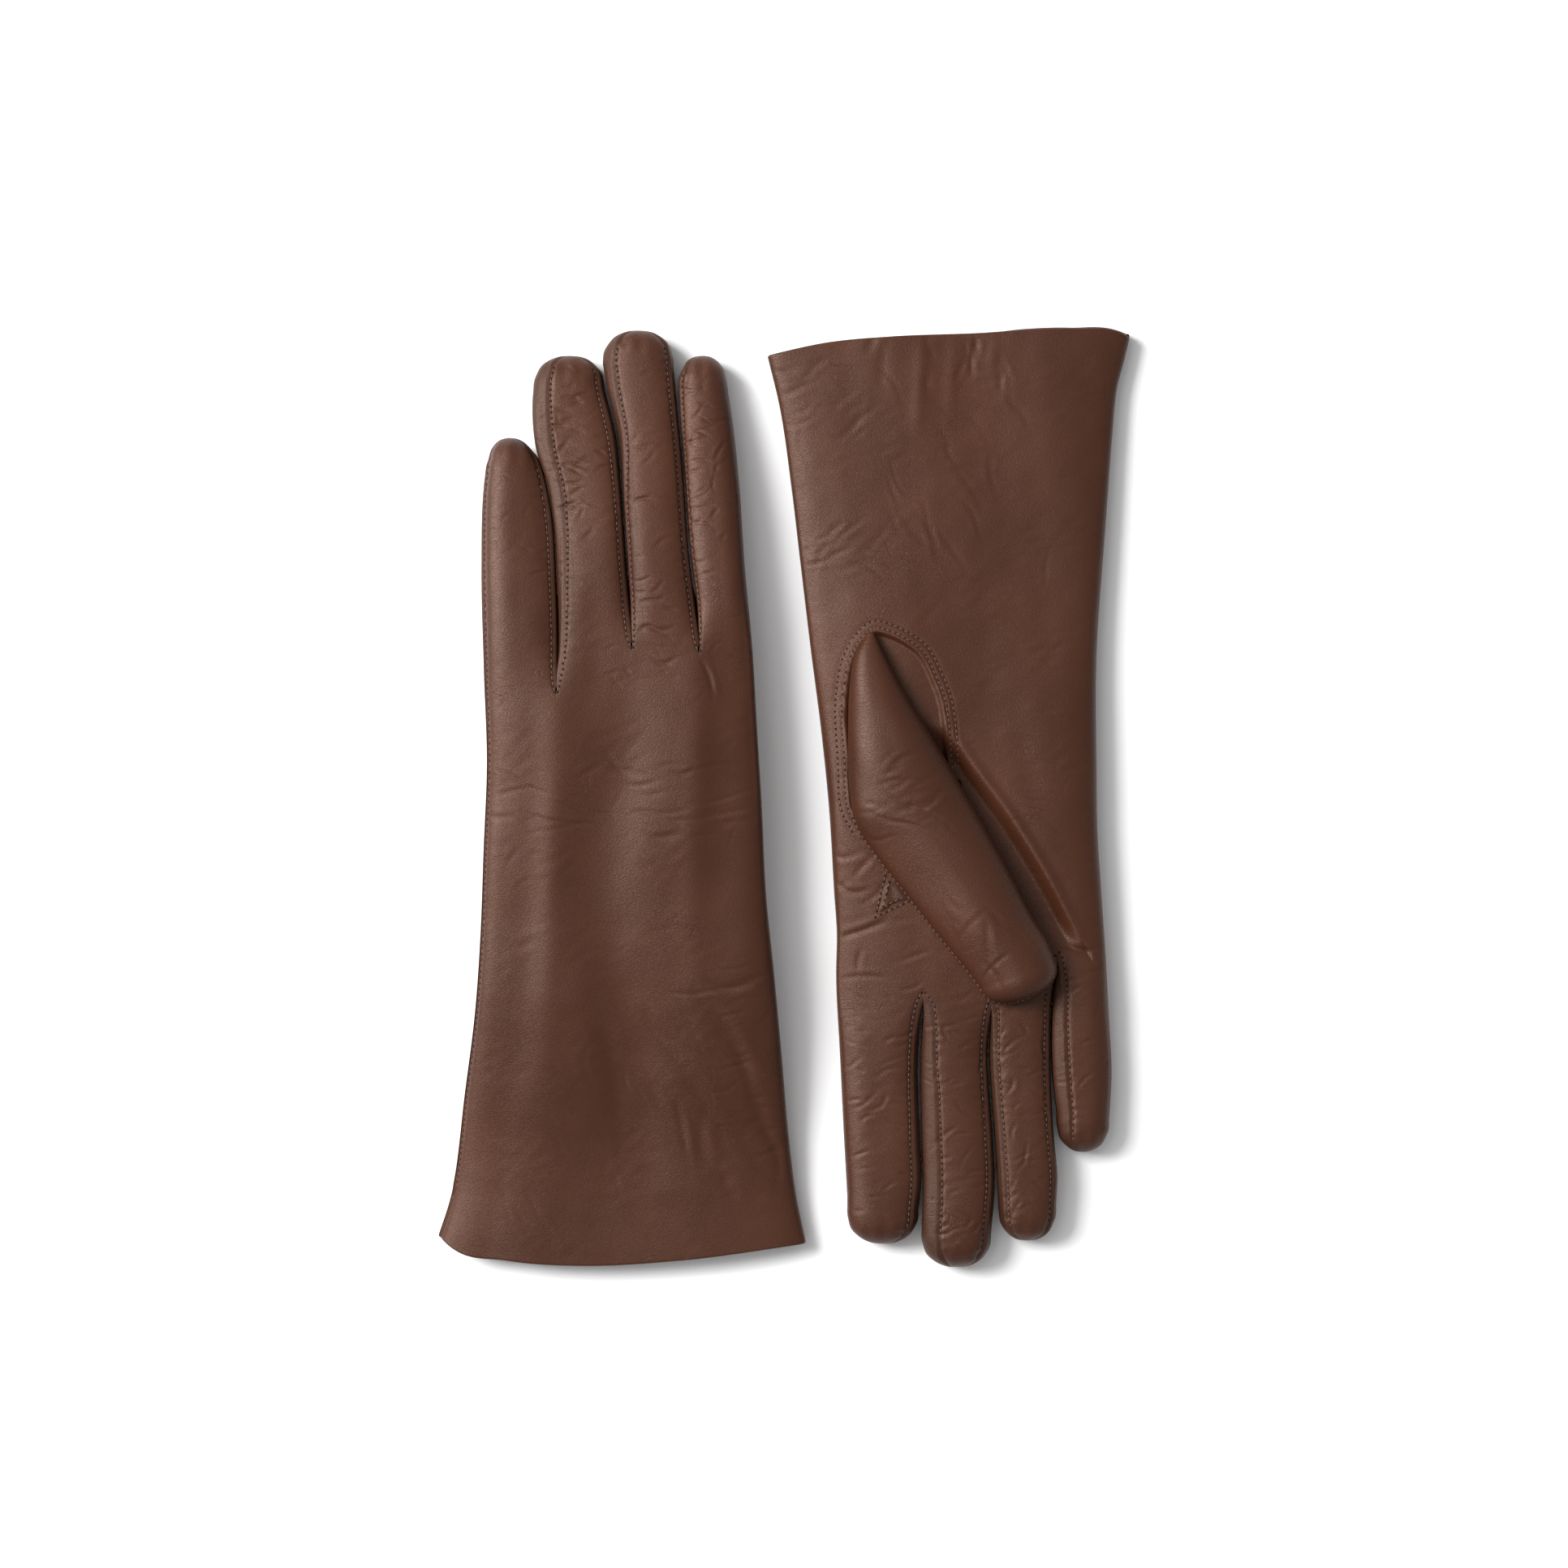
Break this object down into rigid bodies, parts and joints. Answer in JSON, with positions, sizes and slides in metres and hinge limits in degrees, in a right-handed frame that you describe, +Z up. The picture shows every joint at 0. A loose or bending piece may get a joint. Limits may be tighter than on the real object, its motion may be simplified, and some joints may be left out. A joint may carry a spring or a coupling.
{
  "type": "pair of leather dress gloves",
  "caption": "Pair of long lined leather dress gloves lying flat, one palm down and one palm up, with sewn fourchettes, a set-in thumb with a gusset and softly flared cuffs.",
  "frame": {"origin": "on the table under the middle of the pair", "axes": "+Z up from the table, +Y along both gloves, towards the left glove's fingertips and the right glove's cuff; +X from the left glove to the right glove"},
  "size_m": [0.2126, 0.2889, 0.0244],
  "materials": {
    "leather": "smooth lamb leather, warm mid brown, low sheen",
    "gusset_leather": "the same leather, cut for the strips between the fingers and the thumb's gusset",
    "lining": "fine knitted lining",
    "thread": "copper brown sewing thread, on the visual model only"
  },
  "bodies": {
    "right_cuff": {"right_cuff_back": "leather", "right_cuff_hem": "leather", "right_cuff_lining": "lining", "right_cuff_palm": "leather"},
    "right_hand": {"right_hand_back": "leather", "right_hand_lining": "lining", "right_hand_palm": "leather", "right_thumb_gusset": "gusset_leather", "right_thumb_root": "leather"},
    "right_index": {"right_index_back": "leather", "right_index_fourchette_inner": "gusset_leather", "right_index_lining": "lining", "right_index_palm": "leather"},
    "right_middle": {"right_middle_back": "leather", "right_middle_fourchette_inner": "gusset_leather", "right_middle_fourchette_outer": "gusset_leather", "right_middle_lining": "lining", "right_middle_palm": "leather"},
    "right_ring": {"right_ring_back": "leather", "right_ring_fourchette_inner": "gusset_leather", "right_ring_fourchette_outer": "gusset_leather", "right_ring_lining": "lining", "right_ring_palm": "leather"},
    "right_little": {"right_little_back": "leather", "right_little_fourchette_outer": "gusset_leather", "right_little_lining": "lining", "right_little_palm": "leather"},
    "right_thumb": {"right_thumb_leather": "leather", "right_thumb_lining": "lining"},
    "left_cuff": {"left_cuff_back": "leather", "left_cuff_hem": "leather", "left_cuff_lining": "lining", "left_cuff_palm": "leather"},
    "left_hand": {"left_hand_back": "leather", "left_hand_lining": "lining", "left_hand_palm": "leather", "left_thumb_gusset": "gusset_leather", "left_thumb_root": "leather"},
    "left_index": {"left_index_back": "leather", "left_index_fourchette_inner": "gusset_leather", "left_index_lining": "lining", "left_index_palm": "leather"},
    "left_middle": {"left_middle_back": "leather", "left_middle_fourchette_inner": "gusset_leather", "left_middle_fourchette_outer": "gusset_leather", "left_middle_lining": "lining", "left_middle_palm": "leather"},
    "left_ring": {"left_ring_back": "leather", "left_ring_fourchette_inner": "gusset_leather", "left_ring_fourchette_outer": "gusset_leather", "left_ring_lining": "lining", "left_ring_palm": "leather"},
    "left_little": {"left_little_back": "leather", "left_little_fourchette_outer": "gusset_leather", "left_little_lining": "lining", "left_little_palm": "leather"},
    "left_thumb": {"left_thumb_leather": "leather", "left_thumb_lining": "lining"}
  },
  "joints": [
    {"name": "left_glove_lift", "type": "slide", "parent": "right_cuff", "child": "left_cuff", "axis": [0, 0, 1], "range_m": [0, 0.15]},
    {"name": "right_wrist_fold", "type": "hinge", "parent": "right_cuff", "child": "right_hand", "pos_m": [0.05065, 0.0638, 0.0116], "axis": [-1, 0, 0], "range_deg": [0, 60]},
    {"name": "right_index_fold", "type": "hinge", "parent": "right_hand", "child": "right_index", "pos_m": [0.02935, -0.0652, 0.0121], "axis": [-1, 0, 0], "range_deg": [0, 90]},
    {"name": "right_middle_fold", "type": "hinge", "parent": "right_hand", "child": "right_middle", "pos_m": [0.05295, -0.0652, 0.0121], "axis": [-1, 0, 0], "range_deg": [0, 90]},
    {"name": "right_ring_fold", "type": "hinge", "parent": "right_hand", "child": "right_ring", "pos_m": [0.07305, -0.0652, 0.0121], "axis": [-1, 0, 0], "range_deg": [0, 90]},
    {"name": "right_little_fold", "type": "hinge", "parent": "right_hand", "child": "right_little", "pos_m": [0.09185, -0.0502, 0.01265], "axis": [-1, 0, 0], "range_deg": [0, 90]},
    {"name": "right_thumb_fold", "type": "hinge", "parent": "right_hand", "child": "right_thumb", "pos_m": [0.03915, -0.0058, 0.02442], "axis": [-0.811, -0.585, 0], "range_deg": [0, 90]},
    {"name": "left_wrist_fold", "type": "hinge", "parent": "left_cuff", "child": "left_hand", "pos_m": [-0.0501, -0.0638, 0.0206], "axis": [1, 0, 0], "range_deg": [0, 60]},
    {"name": "left_index_fold", "type": "hinge", "parent": "left_hand", "child": "left_index", "pos_m": [-0.0197, 0.0652, 0.0211], "axis": [1, 0, 0], "range_deg": [0, 60]},
    {"name": "left_middle_fold", "type": "hinge", "parent": "left_hand", "child": "left_middle", "pos_m": [-0.0381, 0.0652, 0.0211], "axis": [1, 0, 0], "range_deg": [0, 60]},
    {"name": "left_ring_fold", "type": "hinge", "parent": "left_hand", "child": "left_ring", "pos_m": [-0.059, 0.0652, 0.0211], "axis": [1, 0, 0], "range_deg": [0, 60]},
    {"name": "left_little_fold", "type": "hinge", "parent": "left_hand", "child": "left_little", "pos_m": [-0.0811, 0.0502, 0.0214], "axis": [1, 0, 0], "range_deg": [0, 60]},
    {"name": "left_thumb_fold", "type": "hinge", "parent": "left_hand", "child": "left_thumb", "pos_m": [-0.0386, 0.0058, 0], "axis": [-0.811, -0.585, 0], "range_deg": [0, 90]}
  ]
}
